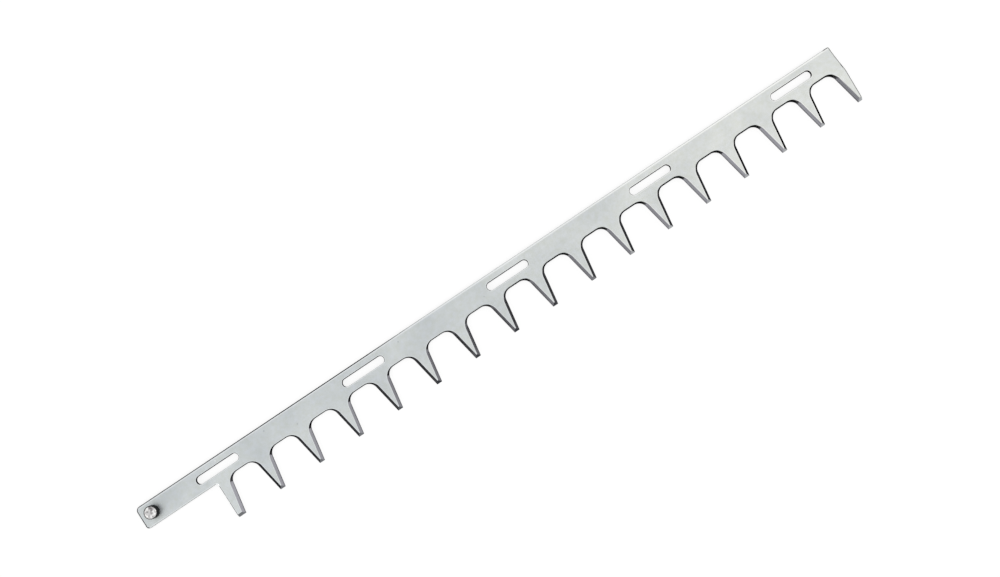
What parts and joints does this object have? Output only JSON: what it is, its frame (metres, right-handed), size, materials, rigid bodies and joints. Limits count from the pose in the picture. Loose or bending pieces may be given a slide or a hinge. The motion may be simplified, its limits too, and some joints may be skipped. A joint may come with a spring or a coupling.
{
  "type": "hedge trimmer blade",
  "caption": "Comb-shaped steel cutting blade for a single-sided hedge trimmer, with ground teeth, guide slots and a riveted drive pin.",
  "frame": {"origin": "on the drive pin's axis, in the ground side of the strip, where the pin's shoulder sits", "axes": "+X along the strip to its far end, -Y the way the teeth point, +Z the way the drive pin stands; the flat sliding face looks down, 2.5 mm below the origin"},
  "size_m": [0.6288, 0.048, 0.0097],
  "materials": {
    "ground_steel": "satin, ground",
    "pin_steel": "turned side, hammered top"
  },
  "bodies": {
    "root": {"blade": "ground_steel", "drive_pin": "pin_steel"}
  },
  "joints": []
}
